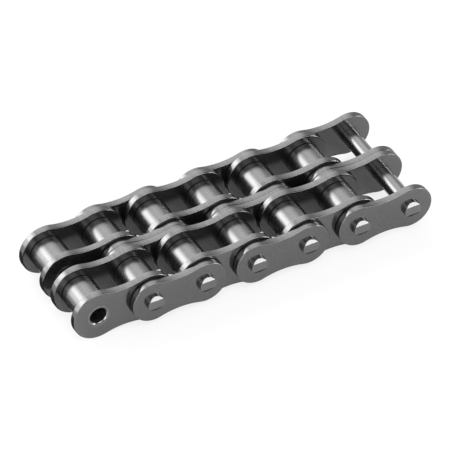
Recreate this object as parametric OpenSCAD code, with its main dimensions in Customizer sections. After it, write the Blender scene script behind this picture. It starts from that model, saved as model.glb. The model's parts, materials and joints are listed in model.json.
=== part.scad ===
// Double strand roller chain, a short open length lying straight.
// X runs along the chain, Y along the pins and Z up. The origin lies on the axis
// of the open bush, midway between the two strands. The pin axes are counted from
// that bush, axis 0, to the bare end pin. Each strand repeats one inner link and
// one outer link, and the pins run right through both strands.

/* [Chain] */
// Distance between neighbouring pin axes
pitch = 25.4; // [25:0.1:32]
// Pairs of an inner link and an outer link in each strand
link_pairs = 3; // [1:1:3]
// Clear width between the two inner plates of one strand
inner_width = 15.89; // [10:0.01:22]
// Side play between an inner plate and the outer or middle plate beside it
link_gap = 0.3; // [0.2:0.05:0.8]

/* [Plates] */
// Thickness of an inner plate
inner_plate_t = 3.2; // [2:0.1:4.5]
// Height of an inner plate across its round ends
inner_plate_h = 24; // [22:0.1:24.6]
// Height of an inner plate at its waist
inner_waist_h = 20.4; // [17:0.1:21.5]
// Thickness of an outer plate
outer_plate_t = 3.2; // [2:0.1:4.5]
// Thickness of each of the two middle plates of an outer link
middle_plate_t = 3.2; // [2:0.1:4.5]
// Height of an outer or middle plate across its round ends
outer_plate_h = 20.8; // [18.5:0.1:22]
// Height of an outer or middle plate at its waist
outer_waist_h = 17.2; // [14:0.1:18]
// Bevel round the rim of every plate
plate_bevel = 0.35; // [0.1:0.05:0.8]

/* [Pins] */
// Diameter of a pin
pin_d = 7.92; // [6.5:0.01:9]
// Length of pin that stands out past an outer plate
pin_stub = 2.2; // [1.5:0.1:4]
// Height of the flat band left across a riveted pin end
pin_band_h = 4.3; // [2.5:0.1:5.5]
// Depth of the two slopes struck into a pin end, above and below the band
pin_slope_depth = 1; // [0.4:0.1:1.2]

/* [Bushes and rollers] */
// Running clearance between a pin and its bush, on the radius
pin_clearance = 0.04; // [0.02:0.01:0.1]
// Wall thickness of a bush
bush_wall = 1.65; // [1:0.05:2.2]
// Length by which a bush stands out past an inner plate
bush_proud = 0.1; // [0.05:0.05:0.15]
// Bevel at both mouths of a bush
bush_bevel = 0.4; // [0.1:0.05:0.6]
// Running clearance between a bush and its roller, on the radius
roller_clearance = 0.05; // [0.03:0.01:0.1]
// Diameter of a roller
roller_d = 15.88; // [14.5:0.01:18]
// Play between a roller and the inner plate at each end
roller_end_play = 0.25; // [0.1:0.05:0.6]
// Bevel on both ends of a roller
roller_bevel = 0.45; // [0.1:0.05:0.8]

/* [Hidden] */
$fn = 96;

// Bores and outside diameters that follow from the pin
bush_bore_d = pin_d + 2 * pin_clearance;
bush_d = bush_bore_d + 2 * bush_wall;
roller_bore_d = bush_d + 2 * roller_clearance;

// Lengths along the pins
bush_l = inner_width + 2 * inner_plate_t + 2 * bush_proud;
roller_l = inner_width - 2 * roller_end_play;

// Distance from the middle of a strand to the middle of each of its plates
inner_plate_y = (inner_width + inner_plate_t) / 2;
strand_half_w = inner_width / 2 + inner_plate_t + link_gap;

// The two strands share one outer link, so their spacing follows from the plates
strand_y = strand_half_w + middle_plate_t;
outer_plate_y = strand_y + strand_half_w + outer_plate_t / 2;
middle_plate_y = middle_plate_t / 2;
pin_l = 2 * (outer_plate_y + outer_plate_t / 2 + pin_stub);

// Depth by which a waist arc reaches into the round ends of its plate
arc_lap = 0.012;

// Cutters run this far past the faces that they cut
over = 1;

plate_grey = [0.44, 0.44, 0.44];
pin_grey = [0.62, 0.62, 0.62];
bush_grey = [0.52, 0.52, 0.52];
roller_grey = [0.66, 0.66, 0.66];

// An outer link follows every inner link, so inner link i lies between the axes
// 2i - 2 and 2i - 1, and outer link i between the axes 2i - 1 and 2i
LINKS = [1 : link_pairs];
BUSHED_AXES = [0 : 2 * link_pairs - 1];
PINNED_AXES = [1 : 2 * link_pairs];
STRANDS = [["front", -1], ["rear", 1]];
function inner_link_x(link) = (2 * link - 2) * pitch;
function outer_link_x(link) = (2 * link - 1) * pitch;

// Radius of the arc that draws in a plate's waist. It runs a hair deeper than a
// tangent arc, so that it crosses the round ends at a few degrees
function waist_arc_r(height, waist) =
    let (end_d = height - 2 * arc_lap)
    (pow(pitch, 2) + pow(waist, 2) - pow(end_d, 2)) / (4 * (end_d - waist));

// The round end of a plate, its rim bevelled on both faces
module plate_end(r, thickness) {
    face = thickness / 2;
    rotate_extrude()
        polygon([
            [0, -face],
            [r - plate_bevel, -face],
            [r, plate_bevel - face],
            [r, face - plate_bevel],
            [r - plate_bevel, face],
            [0, face]
        ]);
}

// What the waist arc leaves out of a plate: a disc that flares at both faces, so
// that the bevel runs on along the waist
module waist_cutter(r, thickness) {
    face = thickness / 2;
    flare = plate_bevel + over;
    rotate_extrude()
        polygon([
            [0, -face - over],
            [r + flare, -face - over],
            [r, plate_bevel - face],
            [r, face - plate_bevel],
            [r + flare, face + over],
            [0, face + over]
        ]);
}

// A punched link plate from one pin axis to the next, standing up on Y = 0
module link_plate(height, waist, thickness, hole_d) {
    arc_r = waist_arc_r(height, waist);
    arc_centre = waist / 2 + arc_r;
    rotate([90, 0, 0])
        difference() {
            union() {
                for (x = [0, pitch])
                    translate([x, 0, 0])
                        plate_end(height / 2, thickness);
                // The corners of this web lie just inside the round ends
                difference() {
                    linear_extrude(thickness, center = true)
                        polygon([
                            [0, 0],
                            [pitch / 2, -arc_centre],
                            [pitch, 0],
                            [pitch / 2, arc_centre]
                        ]);
                    for (side = [-1, 1])
                        translate([pitch / 2, side * arc_centre, 0])
                            waist_cutter(arc_r, thickness);
                }
            }
            for (x = [0, pitch])
                translate([x, 0, 0])
                    cylinder(h = thickness + 2 * over, d = hole_d, center = true);
        }
}

// Inner plates are pressed onto the bushes, outer and middle plates onto the pins
module inner_plate(link, y)
    color(plate_grey)
        translate([inner_link_x(link), y, 0])
            link_plate(inner_plate_h, inner_waist_h, inner_plate_t, bush_d);

module outer_plate(link, side)
    color(plate_grey)
        translate([outer_link_x(link), side * outer_plate_y, 0])
            link_plate(outer_plate_h, outer_waist_h, outer_plate_t, pin_d);

module middle_plate(link, side)
    color(plate_grey)
        translate([outer_link_x(link), side * middle_plate_y, 0])
            link_plate(outer_plate_h, outer_waist_h, middle_plate_t, pin_d);

// The plain tube that turns on a pin and carries a roller, with bevelled mouths
module bush(axis, side) {
    end = bush_l / 2;
    bore_r = bush_bore_d / 2;
    color(bush_grey)
        translate([axis * pitch, side * strand_y, 0])
            rotate([90, 0, 0])
                rotate_extrude()
                    polygon([
                        [bore_r, bush_bevel - end],
                        [bore_r + bush_bevel, -end],
                        [bush_d / 2, -end],
                        [bush_d / 2, end],
                        [bore_r + bush_bevel, end],
                        [bore_r, end - bush_bevel]
                    ]);
}

// The hardened ring that rolls into a sprocket's tooth space
module roller(axis, side) {
    end = roller_l / 2;
    outside_r = roller_d / 2;
    bore_r = roller_bore_d / 2;
    color(roller_grey)
        translate([axis * pitch, side * strand_y, 0])
            rotate([90, 0, 0])
                rotate_extrude()
                    polygon([
                        [bore_r, -end],
                        [outside_r - roller_bevel, -end],
                        [outside_r, roller_bevel - end],
                        [outside_r, end - roller_bevel],
                        [outside_r - roller_bevel, end],
                        [bore_r, end]
                    ]);
}

// A pin through both strands, with two slopes struck across each end so that it
// can't draw back through the outer plates
module pin(axis) {
    end = pin_l / 2;
    shoulder = end - pin_slope_depth;
    band = pin_band_h / 2;
    pin_r = pin_d / 2;
    color(pin_grey)
        translate([axis * pitch, 0, 0])
            intersection() {
                rotate([90, 0, 0])
                    cylinder(h = pin_l, d = pin_d, center = true);
                rotate([90, 0, 90])
                    linear_extrude(pin_d + 2 * over, center = true)
                        polygon([
                            [-end, -band],
                            [-shoulder, -pin_r],
                            [-shoulder, -pin_r - over],
                            [shoulder, -pin_r - over],
                            [shoulder, -pin_r],
                            [end, -band],
                            [end, band],
                            [shoulder, pin_r],
                            [shoulder, pin_r + over],
                            [-shoulder, pin_r + over],
                            [-shoulder, pin_r],
                            [-end, band]
                        ]);
            }
}

for (link = LINKS, s = STRANDS) {
    outer_plate(link, s[1]);
    middle_plate(link, s[1]);
    inner_plate(link, s[1] * (strand_y + inner_plate_y));
    inner_plate(link, s[1] * (strand_y - inner_plate_y));
}
for (axis = BUSHED_AXES, s = STRANDS) {
    bush(axis, s[1]);
    roller(axis, s[1]);
}
for (axis = PINNED_AXES)
    pin(axis);
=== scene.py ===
import json
import math

import bmesh
import bpy
from mathutils import Matrix, Quaternion, Vector

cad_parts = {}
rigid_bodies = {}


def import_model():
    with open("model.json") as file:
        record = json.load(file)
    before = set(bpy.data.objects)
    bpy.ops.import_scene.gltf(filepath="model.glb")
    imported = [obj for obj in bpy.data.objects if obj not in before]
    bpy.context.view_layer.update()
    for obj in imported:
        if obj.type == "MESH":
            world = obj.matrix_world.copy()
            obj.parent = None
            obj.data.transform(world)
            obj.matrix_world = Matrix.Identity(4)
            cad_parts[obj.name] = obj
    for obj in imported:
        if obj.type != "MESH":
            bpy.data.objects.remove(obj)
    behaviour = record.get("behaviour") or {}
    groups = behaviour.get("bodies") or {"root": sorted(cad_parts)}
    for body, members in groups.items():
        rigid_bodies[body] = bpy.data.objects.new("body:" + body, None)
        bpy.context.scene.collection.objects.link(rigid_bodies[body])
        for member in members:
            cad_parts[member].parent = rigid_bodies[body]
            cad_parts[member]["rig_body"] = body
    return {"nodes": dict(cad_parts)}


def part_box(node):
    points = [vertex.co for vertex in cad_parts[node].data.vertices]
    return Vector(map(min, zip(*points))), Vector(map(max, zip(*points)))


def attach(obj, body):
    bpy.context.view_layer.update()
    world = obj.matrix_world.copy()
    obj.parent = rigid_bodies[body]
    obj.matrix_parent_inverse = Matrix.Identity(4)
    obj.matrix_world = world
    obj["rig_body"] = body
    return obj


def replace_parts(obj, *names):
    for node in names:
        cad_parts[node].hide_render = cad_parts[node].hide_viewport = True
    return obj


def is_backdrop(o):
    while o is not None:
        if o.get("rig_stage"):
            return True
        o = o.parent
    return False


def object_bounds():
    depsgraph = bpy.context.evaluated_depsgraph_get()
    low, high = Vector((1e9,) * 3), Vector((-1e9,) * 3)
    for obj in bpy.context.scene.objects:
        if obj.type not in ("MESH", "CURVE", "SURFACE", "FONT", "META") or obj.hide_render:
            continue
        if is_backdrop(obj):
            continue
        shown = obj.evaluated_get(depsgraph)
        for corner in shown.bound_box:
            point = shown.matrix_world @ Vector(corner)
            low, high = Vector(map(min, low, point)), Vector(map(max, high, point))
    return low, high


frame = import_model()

# The chain lies straight along X, its pins along Y, one strand in front of the other.
cad_low, cad_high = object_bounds()

# Bushes
# A bush is a plain tube of case-hardened steel, turned outside, reamed inside and
# eased at both mouths. Its ends are pressed into the two inner plates of a link, and
# it turns on the pin that runs through it. The first pair is open: no pin yet.
strands = ("front", "rear")
bushed_axes = range(6)
bush_bore_r = 0.004
bush_mouth = 0.0005
bush_mouth_profile = 0.3
bush_end_edge = 0.00008
bush_colour = (0.167, 0.166, 0.165)
turning_steps = 96
rounding_steps = 4
round_profile = 0.5
on_line = 1e-7
weld_gap = 1e-6


def pick(kind, wanted):
    """Selects the verts, edges or faces of the mesh in edit mode that pass the test."""
    mesh = bpy.context.edit_object.data
    work = bmesh.from_edit_mesh(mesh)
    bpy.ops.mesh.select_all(action="DESELECT")
    bpy.context.tool_settings.mesh_select_mode = [kind == each for each in ("verts", "edges", "faces")]
    for part in getattr(work, kind):
        part.select_set(bool(wanted(part)))
    work.select_flush_mode()
    bmesh.update_edit_mesh(mesh)


def open_section(
    name, low, high, left_round, right_round=0.0, open_right=False, left_profile=round_profile
):
    """A rectangle in the XY plane from low to high, its corners rounded, left as an outline."""
    bpy.ops.object.select_all(action="DESELECT")
    bpy.ops.mesh.primitive_plane_add(size=1, location=(low + high) / 2)
    section = bpy.context.object
    section.name = section.data.name = name
    section.scale = (high.x - low.x, high.y - low.y, 1)
    bpy.ops.object.transform_apply(location=True, rotation=True, scale=True)
    middle_x = (low.x + high.x) / 2
    bpy.ops.object.mode_set(mode="EDIT")
    pick("verts", lambda vert: vert.co.x < middle_x)
    bpy.ops.mesh.bevel(
        offset=left_round, segments=rounding_steps, affect="VERTICES", profile=left_profile
    )
    if right_round:
        pick("verts", lambda vert: vert.co.x > high.x - on_line)
        bpy.ops.mesh.bevel(offset=right_round, segments=rounding_steps, affect="VERTICES")
    bpy.ops.mesh.select_all(action="SELECT")
    bpy.ops.mesh.delete(type="ONLY_FACE")
    if open_right:
        pick("edges", lambda edge: all(vert.co.x > high.x - on_line for vert in edge.verts))
        bpy.ops.mesh.delete(type="EDGE")
    bpy.ops.mesh.select_all(action="SELECT")
    return section


def close_seams():
    """Merges the seam of a spun mesh, turns its faces outwards and leaves edit mode."""
    bpy.ops.mesh.select_all(action="SELECT")
    bpy.ops.mesh.remove_doubles(threshold=weld_gap)
    bpy.ops.mesh.normals_make_consistent(inside=False)
    bpy.ops.object.mode_set(mode="OBJECT")


def smooth_shade(piece):
    """Smooth over the roundings, with the normals of flat faces kept flat."""
    widest_smooth_angle = math.radians(32)
    bpy.ops.object.select_all(action="DESELECT")
    piece.select_set(True)
    bpy.context.view_layer.objects.active = piece
    bpy.ops.object.shade_smooth_by_angle(angle=widest_smooth_angle)
    piece.modifiers.new("flat_faces", "WEIGHTED_NORMAL").keep_sharp = True
    bpy.ops.object.modifier_apply(modifier="flat_faces")


def turned_ring(name, node, bore_r, mouth, edge, mouth_profile=round_profile):
    """A ring at a CAD node's place, spun round its axis from a rounded section."""
    low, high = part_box(node)
    middle = (low + high) / 2
    outside_r = (high.x - low.x) / 2
    ring = open_section(
        name,
        Vector((middle.x + bore_r, low.y, middle.z)),
        Vector((middle.x + outside_r, high.y, middle.z)),
        mouth,
        edge,
        left_profile=mouth_profile,
    )
    bpy.ops.mesh.spin(steps=turning_steps, angle=math.tau, center=middle, axis=(0, -1, 0))
    close_seams()
    smooth_shade(ring)
    return ring


def stand_for(master, name, node, first_node):
    """The master, or a copy of it moved from first_node's place, as the piece that replaces node."""
    piece = master
    if node != first_node:
        piece = master.copy()
        piece.data = master.data.copy()
        bpy.context.scene.collection.objects.link(piece)
        piece.data.transform(Matrix.Translation(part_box(node)[0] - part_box(first_node)[0]))
    piece.name = piece.data.name = name
    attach(piece, frame["nodes"][node]["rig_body"])
    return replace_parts(piece, node)


def node_group(name, inputs, outputs):
    """A shader node group with its named sockets: the group, its input node and its output node."""
    group = bpy.data.node_groups.new(name, "ShaderNodeTree")
    for direction, sockets in (("INPUT", inputs), ("OUTPUT", outputs)):
        for label, kind in sockets:
            group.interface.new_socket(name=label, in_out=direction, socket_type="NodeSocket" + kind)
    return group, group.nodes.new("NodeGroupInput"), group.nodes.new("NodeGroupOutput")


def add_node(tree, kind, sockets=(), **settings):
    """A node with its settings, and its inputs set or linked by name or number."""
    node = tree.nodes.new("ShaderNode" + kind)
    for setting, value in settings.items():
        setattr(node, setting, value)
    for label, value in dict(sockets).items():
        if isinstance(value, bpy.types.NodeSocket):
            tree.links.new(value, node.inputs[label])
        else:
            node.inputs[label].default_value = value
    return node


# Steel grain: a slow mottle left by heat treatment and a fine grain left by the tool.
# Mottle and Fleck are how far the slow and the fine pattern lighten and darken the
# steel, and Spread is how far the fine one changes its roughness. The grain runs along
# the directions in which Stretch is low. Its height is for a bump.
mottle_scale = 170.0
swing_low = 0.3
swing_high = 0.7
plain_tone = 1.0
steel_grain, given, made = node_group(
    "steel_grain",
    [
        ("Steel", "Color"),
        ("Mottle", "Float"),
        ("Fleck", "Float"),
        ("Roughness", "Float"),
        ("Spread", "Float"),
        ("Grain", "Float"),
        ("Stretch", "Vector"),
    ],
    [("Color", "Color"), ("Roughness", "Float"), ("Height", "Float")],
)
position = add_node(steel_grain, "TexCoord")
stretched = add_node(
    steel_grain, "VectorMath", operation="MULTIPLY",
    sockets={0: position.outputs["Object"], 1: given.outputs["Stretch"]},
)
fine = add_node(
    steel_grain, "TexNoise",
    sockets={
        "Vector": stretched.outputs[0], "Scale": given.outputs["Grain"], "Detail": 3.0, "Roughness": 0.6,
    },
)
slow = add_node(
    steel_grain, "TexNoise",
    sockets={
        "Vector": position.outputs["Object"], "Scale": mottle_scale, "Detail": 3.0, "Roughness": 0.55,
    },
)
fine_swing, slow_swing = (
    add_node(
        steel_grain, "MapRange",
        sockets={
            "Value": noise.outputs["Fac"],
            "From Min": swing_low, "From Max": swing_high,
            "To Min": -1.0, "To Max": 1.0,
        },
    )
    for noise in (fine, slow)
)
flecked = add_node(
    steel_grain, "Math", operation="MULTIPLY_ADD",
    sockets={0: fine_swing.outputs[0], 1: given.outputs["Fleck"], 2: plain_tone},
)
tone = add_node(
    steel_grain, "Math", operation="MULTIPLY_ADD",
    sockets={0: slow_swing.outputs[0], 1: given.outputs["Mottle"], 2: flecked.outputs[0]},
)
grained_colour = add_node(
    steel_grain, "HueSaturation",
    sockets={"Color": given.outputs["Steel"], "Value": tone.outputs[0]},
)
grained_roughness = add_node(
    steel_grain, "Math", operation="MULTIPLY_ADD",
    sockets={0: fine_swing.outputs[0], 1: given.outputs["Spread"], 2: given.outputs["Roughness"]},
)
steel_grain.links.new(grained_colour.outputs[0], made.inputs["Color"])
steel_grain.links.new(grained_roughness.outputs[0], made.inputs["Roughness"])
steel_grain.links.new(fine.outputs["Fac"], made.inputs["Height"])

# Eased edges: tumbling rubs the rounded edges brighter and smoother than the faces, and their colour is
# painted lighter, partly for the burnish that tumbling leaves and partly as a painted highlight along the
# rims. Every edge here turns from the pins' direction, Y, to square with it, so the mask is strongest
# where the normal lies between the two.
edge_burnish_and_highlight = 0.9
edge_smoothing = -0.5
eased_edges, given, made = node_group(
    "eased_edges",
    [("Color", "Color"), ("Roughness", "Float"), ("Polish_and_Highlight", "Float")],
    [("Color", "Color"), ("Roughness", "Float")],
)
surface = add_node(eased_edges, "NewGeometry")
facing_parts = add_node(eased_edges, "SeparateXYZ", sockets={0: surface.outputs["Normal"]})
along_pins = add_node(
    eased_edges, "Math", operation="ABSOLUTE", sockets={0: facing_parts.outputs["Y"]}
)
rise = add_node(
    eased_edges, "MapRange", interpolation_type="SMOOTHSTEP",
    sockets={"Value": along_pins.outputs[0], "From Min": 0.1, "From Max": 0.45},
)
fall = add_node(
    eased_edges, "MapRange", interpolation_type="SMOOTHSTEP",
    sockets={
        "Value": along_pins.outputs[0], "From Min": 0.62, "From Max": 0.86, "To Min": 1.0, "To Max": 0.0,
    },
)
edge_mask = add_node(
    eased_edges, "Math", operation="MULTIPLY", sockets={0: rise.outputs[0], 1: fall.outputs[0]}
)
rubbed_and_highlit = add_node(
    eased_edges, "Math", operation="MULTIPLY",
    sockets={0: edge_mask.outputs[0], 1: given.outputs["Polish_and_Highlight"]},
)
# Painted highlight: the edge colour is lightened, partly for the burnish and partly as a highlight along
# the rims.
burnish_and_highlight = add_node(
    eased_edges, "Math", operation="MULTIPLY_ADD",
    sockets={0: rubbed_and_highlit.outputs[0], 1: edge_burnish_and_highlight, 2: plain_tone},
)
burnished_and_highlit_colour = add_node(
    eased_edges, "HueSaturation",
    sockets={"Color": given.outputs["Color"], "Value": burnish_and_highlight.outputs[0]},
)
smoothing = add_node(
    eased_edges, "Math", operation="MULTIPLY_ADD",
    sockets={0: rubbed_and_highlit.outputs[0], 1: edge_smoothing, 2: plain_tone},
)
edge_roughness = add_node(
    eased_edges, "Math", operation="MULTIPLY",
    sockets={0: given.outputs["Roughness"], 1: smoothing.outputs[0]},
)
eased_edges.links.new(burnished_and_highlit_colour.outputs[0], made.inputs["Color"])
eased_edges.links.new(edge_roughness.outputs[0], made.inputs["Roughness"])


def steel(name, colour, mottle, fleck, roughness, spread, grain, stretch, polish_and_highlight, bump, edge_tone=1.0):
    """A bare steel finish: grain, eased edges painted lighter for their burnish and as a painted
    highlight, and a fine bump on one metallic shader.
    """
    bare_metal = 0.94
    bump_depth = 0.00001
    finish = bpy.data.materials.new(name)
    finish.use_nodes = True
    tree = finish.node_tree
    shader = tree.nodes["Principled BSDF"]
    shader.inputs["Metallic"].default_value = bare_metal
    shader.inputs["Specular Tint"].default_value = (edge_tone, edge_tone, edge_tone, 1.0)
    grained = add_node(
        tree, "Group", node_tree=steel_grain,
        sockets={
            "Steel": (*colour, 1.0), "Mottle": mottle, "Fleck": fleck, "Roughness": roughness,
            "Spread": spread, "Grain": grain, "Stretch": stretch,
        },
    )
    edged = add_node(
        tree, "Group", node_tree=eased_edges,
        sockets={
            "Color": grained.outputs["Color"], "Roughness": grained.outputs["Roughness"], "Polish_and_Highlight": polish_and_highlight,
        },
    )
    relief = add_node(
        tree, "Bump",
        sockets={"Strength": bump, "Distance": bump_depth, "Height": grained.outputs["Height"]},
    )
    tree.links.new(edged.outputs["Color"], shader.inputs["Base Color"])
    tree.links.new(edged.outputs["Roughness"], shader.inputs["Roughness"])
    tree.links.new(relief.outputs["Normal"], shader.inputs["Normal"])
    return finish


bush_steel = steel(
    "bush_steel", bush_colour,
    mottle=0.035, fleck=0.03, roughness=0.24, spread=0.03,
    grain=3200, stretch=(0.03, 1.0, 0.03), polish_and_highlight=0.6, bump=0.1,
)
bush_master = turned_ring(
    "turned_bush", "front_bush_0", bush_bore_r, bush_mouth, bush_end_edge, bush_mouth_profile
)
bush_master.data.materials.append(bush_steel)
for axis in bushed_axes:
    for strand in strands:
        node = f"{strand}_bush_{axis}"
        stand_for(bush_master, "turned_" + node, node, "front_bush_0")

# Rollers
# A roller is a hardened sleeve that turns freely on its bush and rolls into the tooth
# space of a sprocket. It is ground outside, so fine lines run round it.
roller_bore_r = 0.0057
roller_mouth = 0.0002
roller_edge = 0.0002
roller_colour = (0.165, 0.165, 0.166)

roller_steel = steel(
    "roller_steel", roller_colour,
    mottle=0.03, fleck=0.03, roughness=0.26, spread=0.02,
    grain=3600, stretch=(0.02, 1.0, 0.02), polish_and_highlight=0.4, bump=0.08,
)
roller_master = turned_ring("ground_roller", "front_roller_0", roller_bore_r, roller_mouth, roller_edge)
roller_master.data.materials.append(roller_steel)
for axis in bushed_axes:
    for strand in strands:
        node = f"{strand}_roller_{axis}"
        stand_for(roller_master, "ground_" + node, node, "front_roller_0")

# Inner plates
# The inner plates are punched from tempered carbon steel strip, waisted between two
# round ends, and tumbled. A pair is pressed onto two bushes and makes an inner link.
links = range(1, 4)
inner_waist = 0.0204
inner_hole_r = 0.00565
rim_round = 0.00035
rim_land = 0.0009
hole_round = 0.0001
half_end_steps = 40
waist_steps = 16
hole_steps = 72
plate_colour = (0.142, 0.142, 0.142)


def punched_plate(name, node, waist, hole_r):
    """A link plate at a CAD node's place: a spun rim and two spun hole walls, filled between."""
    low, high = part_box(node)
    middle = (low + high) / 2
    end_r = (high.z - low.z) / 2
    pitch = high.x - low.x - 2 * end_r
    left, right = (middle + Vector((side * pitch / 2, 0, 0)) for side in (-1, 1))
    # The waist's arcs are tangent to the round ends, and each turns twice this angle
    waist_r = (pitch ** 2 / 4 + waist ** 2 / 4 - end_r ** 2) / (2 * end_r - waist)
    below, above = (middle + Vector((0, 0, side * (waist / 2 + waist_r))) for side in (-1, 1))
    turn = math.atan2(pitch / 2, waist / 2 + waist_r)
    plate = open_section(
        name,
        Vector((low.x, low.y, middle.z)),
        Vector((low.x + rim_land, high.y, middle.z)),
        rim_round,
        open_right=True,
    )
    for centre, angle, steps in (
        (left, math.pi / 2 + turn, half_end_steps),
        (below, -2 * turn, waist_steps),
        (right, math.pi + 2 * turn, 2 * half_end_steps),
        (above, -2 * turn, waist_steps),
        (left, math.pi / 2 + turn, half_end_steps),
    ):
        bpy.ops.mesh.spin(steps=steps, angle=angle, center=centre, axis=(0, 1, 0))
    close_seams()
    walls = []
    for centre in (left, right):
        walls.append(open_section(
            "hole_wall",
            Vector((centre.x + hole_r, low.y, centre.z)),
            Vector((centre.x + hole_r + rim_land, high.y, centre.z)),
            hole_round,
            open_right=True,
        ))
        bpy.ops.mesh.spin(steps=hole_steps, angle=math.tau, center=centre, axis=(0, -1, 0))
        close_seams()
    bpy.ops.object.select_all(action="DESELECT")
    for part in (*walls, plate):
        part.select_set(True)
    bpy.context.view_layer.objects.active = plate
    bpy.ops.object.join()
    bpy.ops.object.mode_set(mode="EDIT")
    for face_y in (low.y, high.y):
        pick(
            "edges",
            lambda edge: edge.is_boundary
            and all(abs(vert.co.y - face_y) < weld_gap for vert in edge.verts),
        )
        bpy.ops.mesh.fill(use_beauty=True)
    close_seams()
    smooth_shade(plate)
    return plate


plate_steel = steel(
    "plate_steel", plate_colour,
    mottle=0.02, fleck=0.12, roughness=0.17, spread=0.02,
    grain=1500, stretch=(1.0, 0.08, 1.0), polish_and_highlight=0.3, bump=0.05, edge_tone=0.5,
)
inner_master = punched_plate(
    "punched_inner_plate", "front_outboard_inner_plate_1", inner_waist, inner_hole_r
)
inner_master.data.materials.append(plate_steel)
for link in links:
    for strand in strands:
        for place in ("outboard", "inboard"):
            node = f"{strand}_{place}_inner_plate_{link}"
            stand_for(inner_master, "punched_" + node, node, "front_outboard_inner_plate_1")

# Pins
# A pin is a hardened, ground and polished rod that runs through both strands. Two
# slopes struck across each end spread it, so that it can't draw back through the
# outer plates. The last pin is bare, ready for the next link.
pinned_axes = range(1, 7)
pin_band = 0.0043
pin_slope_depth = 0.001
pin_end_edge = 0.00012
pin_edge_steps = 3
pin_edge_slack = 0.00001
least_edge_angle = math.radians(15)
pin_colour = (0.168, 0.168, 0.169)

low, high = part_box("pin_1")
middle = (low + high) / 2
pin_r = (high.x - low.x) / 2
pin_half_l = (high.y - low.y) / 2
struck_from = pin_half_l - pin_slope_depth - pin_edge_slack
bpy.ops.object.select_all(action="DESELECT")
bpy.ops.mesh.primitive_cylinder_add(
    vertices=turning_steps,
    radius=pin_r,
    depth=2 * pin_half_l,
    location=middle,
    rotation=(math.pi / 2, 0, 0),
)
pin_master = bpy.context.object
pin_master.name = pin_master.data.name = "riveted_pin"
bpy.ops.object.transform_apply(location=True, rotation=True, scale=True)
bpy.ops.object.mode_set(mode="EDIT")
for end in (-1, 1):
    for side in (-1, 1):
        bpy.ops.mesh.select_all(action="SELECT")
        bpy.ops.mesh.bisect(
            plane_co=middle + Vector((0, end * pin_half_l, side * pin_band / 2)),
            plane_no=Vector((0, end * (pin_r - pin_band / 2), side * pin_slope_depth)).normalized(),
            use_fill=True,
            clear_outer=True,
            threshold=weld_gap,
        )
pick(
    "edges",
    lambda edge: len(edge.link_faces) == 2
    and edge.calc_face_angle() > least_edge_angle
    and all(abs(vert.co.y - middle.y) > struck_from for vert in edge.verts),
)
bpy.ops.mesh.bevel(offset=pin_end_edge, segments=pin_edge_steps, affect="EDGES")
close_seams()
smooth_shade(pin_master)

pin_steel = steel(
    "pin_steel", pin_colour,
    mottle=0.03, fleck=0.03, roughness=0.22, spread=0.02,
    grain=3600, stretch=(0.02, 1.0, 0.02), polish_and_highlight=0.3, bump=0.06,
)
pin_master.data.materials.append(pin_steel)
for axis in pinned_axes:
    node = f"pin_{axis}"
    stand_for(pin_master, "riveted_" + node, node, "pin_1")

# Middle plates
# Two middle plates stand side by side between the strands on each pair of pins. They
# are punched and tumbled like the inner plates, but slimmer, and pressed onto the pins.
outer_waist = 0.0172
pin_hole_r = 0.00396

middle_master = punched_plate("punched_middle_plate", "front_middle_plate_1", outer_waist, pin_hole_r)
middle_master.data.materials.append(plate_steel)
for link in links:
    for strand in strands:
        node = f"{strand}_middle_plate_{link}"
        stand_for(middle_master, "punched_" + node, node, "front_middle_plate_1")

# Outer plates
# The outer plates close the outer links on both sides of the chain. Each is the same
# punched steel plate as a middle one, pressed over two pin ends, which are then riveted.
outer_master = punched_plate("punched_outer_plate", "front_outer_plate_1", outer_waist, pin_hole_r)
outer_master.data.materials.append(plate_steel)
for link in links:
    for strand in strands:
        node = f"{strand}_outer_plate_{link}"
        stand_for(outer_master, "punched_" + node, node, "front_outer_plate_1")

# Floor and light
# The chain lies on a plain white floor in soft studio light: wide soft lights behind
# it and at the back left, two overhead, and low ones in front on both sides, which
# light up the pin ends and the edges.
chain_middle_x = 0.0762
floor_size = 6
floor_white = (0.82, 0.82, 0.82, 1)
light_white = (1, 1, 1, 1)

bpy.ops.object.select_all(action="DESELECT")
bpy.ops.mesh.primitive_plane_add(size=floor_size, location=(chain_middle_x, 0, cad_low.z))
floor = bpy.context.object
floor.name = "floor"
floor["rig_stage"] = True

# The camera and the shiny steel see part of the floor as even white, and the rest of
# it as matt paint, which keeps the chain's shadow
white_share = 0.34
more_for_camera = 0.45
floor_paint = bpy.data.materials.new("white_floor")
floor_paint.use_nodes = True
tree = floor_paint.node_tree
matt = tree.nodes["Principled BSDF"]
matt.inputs["Base Color"].default_value = floor_white
matt.inputs["Roughness"].default_value = 1.0
matt.inputs["Specular IOR Level"].default_value = 0.0
ray = add_node(tree, "LightPath")
seen_or_reflected = add_node(
    tree, "Math", operation="MAXIMUM",
    sockets={0: ray.outputs["Is Camera Ray"], 1: ray.outputs["Is Glossy Ray"]},
)
seen_at_all = add_node(
    tree, "Math", operation="MAXIMUM",
    sockets={0: seen_or_reflected.outputs[0], 1: ray.outputs["Is Transmission Ray"]},
)
even_share = add_node(
    tree, "Math", operation="MULTIPLY", sockets={0: seen_at_all.outputs[0], 1: white_share}
)
white_part = add_node(
    tree, "Math", operation="MULTIPLY_ADD",
    sockets={0: ray.outputs["Is Camera Ray"], 1: more_for_camera, 2: even_share.outputs[0]},
)
white = add_node(tree, "Emission", sockets={"Color": light_white, "Strength": 1.0})
blend = add_node(
    tree, "MixShader", sockets={0: white_part.outputs[0], 1: matt.outputs[0], 2: white.outputs[0]}
)
tree.links.new(blend.outputs[0], tree.nodes["Material Output"].inputs["Surface"])
floor.data.materials.append(floor_paint)

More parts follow.
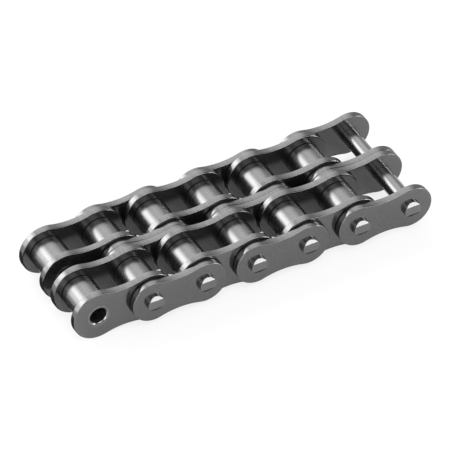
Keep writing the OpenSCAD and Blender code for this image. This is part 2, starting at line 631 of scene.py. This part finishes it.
# Black cards lie on the floor and show only as reflections: they are painted shade. The one beside the
# open end paints dark reflections on the bright metal's left edges. The strips paint the shadow under the
# plates into the metal, where the floor's even white would otherwise shine as the open floor does.
card_lift = 0.0001
painted_shade_colour = (0.04, 0.04, 0.04, 1)
painted_shade_card = bpy.data.materials.new("painted_shade_card")
painted_shade_card.use_nodes = True
matt = painted_shade_card.node_tree.nodes["Principled BSDF"]
matt.inputs["Base Color"].default_value = painted_shade_colour
matt.inputs["Specular IOR Level"].default_value = 0.0

# Each row is a painted shade card: its name, its left and right x and its front and back y.
for card_name, left_x, right_x, front_y, back_y in (
    ("end_shade_card", -0.0374, -0.0075, -0.0250, 0.0800),
    ("front_shadow_strip", 0.0080, 0.1410, -0.0243, -0.0217),
    ("middle_shadow_strip", 0.0280, 0.1430, -0.0063, 0.0076),
    ("open_end_shadow_strip", -0.0080, 0.0280, 0.0036, 0.0076),
    ("rear_shadow_strip", 0.0240, 0.1480, 0.0226, 0.0310),
    ("stub_shadow_strip_1", 0.0220, 0.0580, -0.0305, -0.0243),
    ("stub_shadow_strip_2", 0.0730, 0.1090, -0.0305, -0.0243),
    ("stub_shadow_strip_3", 0.1240, 0.1345, -0.0305, -0.0243),
    ("stub_shadow_strip_4", 0.1490, 0.1630, -0.0305, -0.0243),
):
    bpy.ops.object.select_all(action="DESELECT")
    bpy.ops.mesh.primitive_plane_add(
        size=1, location=((left_x + right_x) / 2, (front_y + back_y) / 2, cad_low.z + card_lift)
    )
    card = bpy.context.object
    card.name = card_name
    card.scale = (right_x - left_x, back_y - front_y, 1)
    bpy.ops.object.transform_apply(location=True, rotation=True, scale=True)
    card.visible_camera = card.visible_diffuse = card.visible_shadow = False
    card.data.materials.append(painted_shade_card)
    card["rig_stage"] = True

# Each soft light is a round patch of the sky. A row gives the direction towards it, the
# angles in degrees from its middle at which it starts to fade and at which it ends,
# and its radiance.
faint_light = 0.07
world = bpy.data.worlds.new("studio")
world.use_nodes = True
bpy.context.scene.world = world
tree = world.node_tree
sky = tree.nodes["Background"]
sky.inputs["Color"].default_value = light_white
sky_direction = add_node(tree, "TexCoord")
level = faint_light
for towards, inner, outer, radiance in (
    ((0.031, 0.931, 0.363), 16.8, 39.5, 2.95),
    ((-0.506, 0.632, 0.586), 3.9, 19.8, 3.51),
    ((-0.767, 0.594, 0.240), 11.6, 37.4, 3.83),
    ((0.263, 0.963, 0.063), 32.9, 62.1, 0.81),
    ((0.0, -0.1, 1.0), 20, 40, 1.1),
    ((0.0, -0.42, 0.91), 8, 40, 2.1),
    ((-0.74, -0.65, 0.18), 10, 30, 3.6),
    ((0.38, -0.91, 0.14), 8, 17, 6.0),
    ((0.742, -0.662, 0.02), 5, 13, 21.0),
    ((0.93, -0.35, 0.14), 8, 22, 3.6),
):
    nearness = add_node(
        tree, "VectorMath", operation="DOT_PRODUCT",
        sockets={0: sky_direction.outputs["Generated"], 1: Vector(towards).normalized()},
    )
    glow = add_node(
        tree, "MapRange", interpolation_type="SMOOTHSTEP",
        sockets={
            "Value": nearness.outputs["Value"],
            "From Min": math.cos(math.radians(outer)), "From Max": math.cos(math.radians(inner)),
            "To Min": 0.0, "To Max": radiance,
        },
    )
    level = add_node(tree, "Math", operation="ADD", sockets={0: glow.outputs[0], 1: level}).outputs[0]
tree.links.new(level, sky.inputs["Strength"])

# Camera
# The camera stands to the front left and above, far off, as in the photograph.
camera_azimuth, camera_elevation, camera_roll = (
    math.radians(degrees) for degrees in (-28.1495, 41.3493, 0.5765)
)
camera_distance = 3.7322
shift_left = 0.00025
shift_down = 0.000126
back = Vector((
    math.sin(camera_azimuth) * math.cos(camera_elevation),
    -math.cos(camera_azimuth) * math.cos(camera_elevation),
    math.sin(camera_elevation),
))
right = Vector((math.cos(camera_azimuth), math.sin(camera_azimuth), 0))
up = back.cross(right)
chain_middle = Vector((chain_middle_x, 0, 0))
lens = bpy.data.cameras.new("camera")
lens.lens = 685.25
lens.sensor_width = 36
lens.clip_end = 20
camera = bpy.data.objects.new("camera", lens)
bpy.context.scene.collection.objects.link(camera)
camera.location = chain_middle - right * shift_left - up * shift_down + back * camera_distance
camera.rotation_mode = "QUATERNION"
camera.rotation_quaternion = (-back).to_track_quat("-Z", "Y") @ Quaternion((0, 0, 1), -camera_roll)
bpy.context.scene.camera = camera
bpy.context.scene.view_settings.view_transform = "Standard"

low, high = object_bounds()
